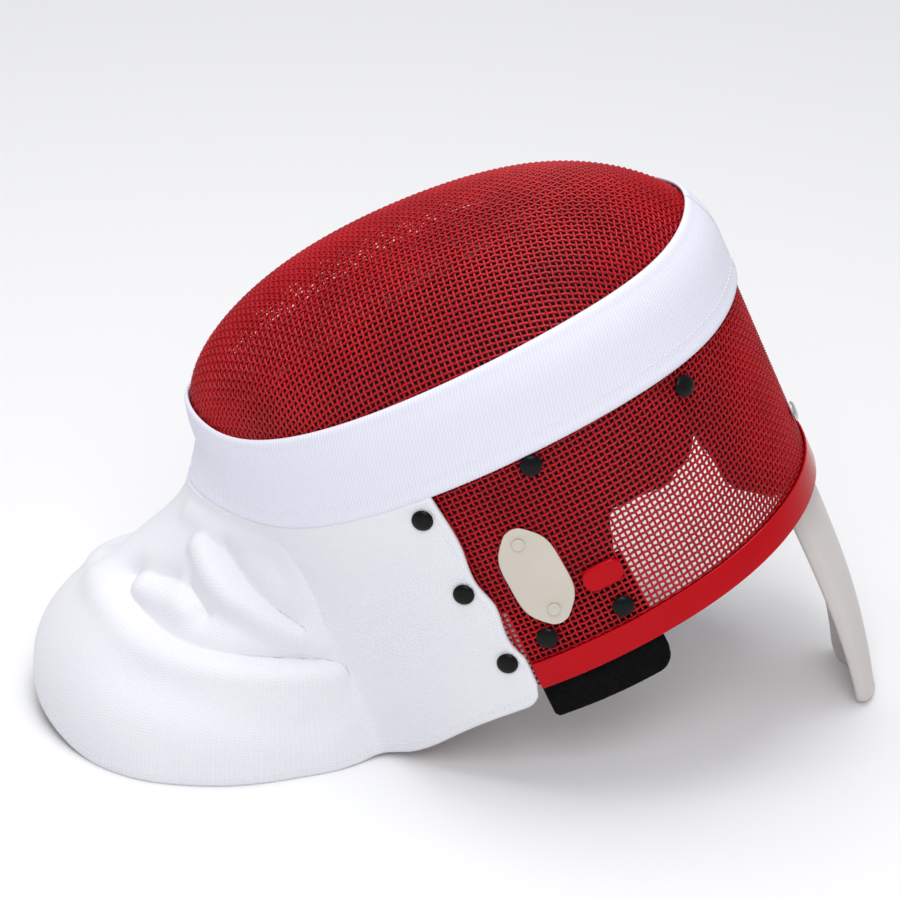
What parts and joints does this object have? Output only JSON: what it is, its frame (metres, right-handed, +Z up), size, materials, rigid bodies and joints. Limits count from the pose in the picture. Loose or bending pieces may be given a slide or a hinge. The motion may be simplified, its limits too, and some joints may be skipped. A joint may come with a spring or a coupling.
{
  "type": "fencing mask",
  "caption": "Fencing mask with a domed mesh face, a mesh side wall with a trimmed rim, a cloth trim band, a folded cloth bib, a dark lining, a padded tongue, jaw pads and snaps.",
  "frame": {"origin": "floor under the middle of the mask's bounding box, as it lies face up on its bib and tongue", "axes": "+X from the chin to the crown, +Y to the wearer's right, +Z up out of the face"},
  "size_m": [0.414, 0.2022, 0.2747],
  "materials": {
    "red_wire": "steel wire mesh with bright red paint, satin",
    "red_edging": "glossy red plastic edging",
    "white_band": "smooth white band cloth with a fine diagonal rib",
    "white_cloth": "dense white protective cloth, finely ribbed",
    "tongue_cloth": "off-white padded cloth",
    "black_plush": "black plush padding",
    "navy_padding": "dark matt padding inside the mesh",
    "black_snap": "black domed snap caps",
    "cream_plate": "cream painted plate, satin",
    "steel": "plain steel rivet head"
  },
  "bodies": {
    "root": {"face_mesh": "red_wire", "side_mesh": "red_wire", "trim_band": "white_band", "lining": "navy_padding", "rim_edging": "red_edging", "bib": "white_cloth", "tongue": "tongue_cloth", "jaw_pad_left": "black_plush", "jaw_pad_right": "black_plush", "snap_left_crown": "black_snap", "snap_left_temple": "black_snap", "snap_left_bib_top": "black_snap", "snap_left_bib_middle": "black_snap", "snap_left_bib_bottom": "black_snap", "snap_left_pad_front": "black_snap", "snap_left_pad_back": "black_snap", "snap_right_crown": "black_snap", "snap_right_temple": "black_snap", "snap_right_bib_top": "black_snap", "snap_right_bib_middle": "black_snap", "snap_right_bib_bottom": "black_snap", "snap_right_pad_front": "black_snap", "snap_right_pad_back": "black_snap", "label_plate": "cream_plate", "plate_rivet_upper": "cream_plate", "plate_rivet_lower": "cream_plate", "side_badge": "red_edging", "crown_rivet": "steel"}
  },
  "joints": []
}
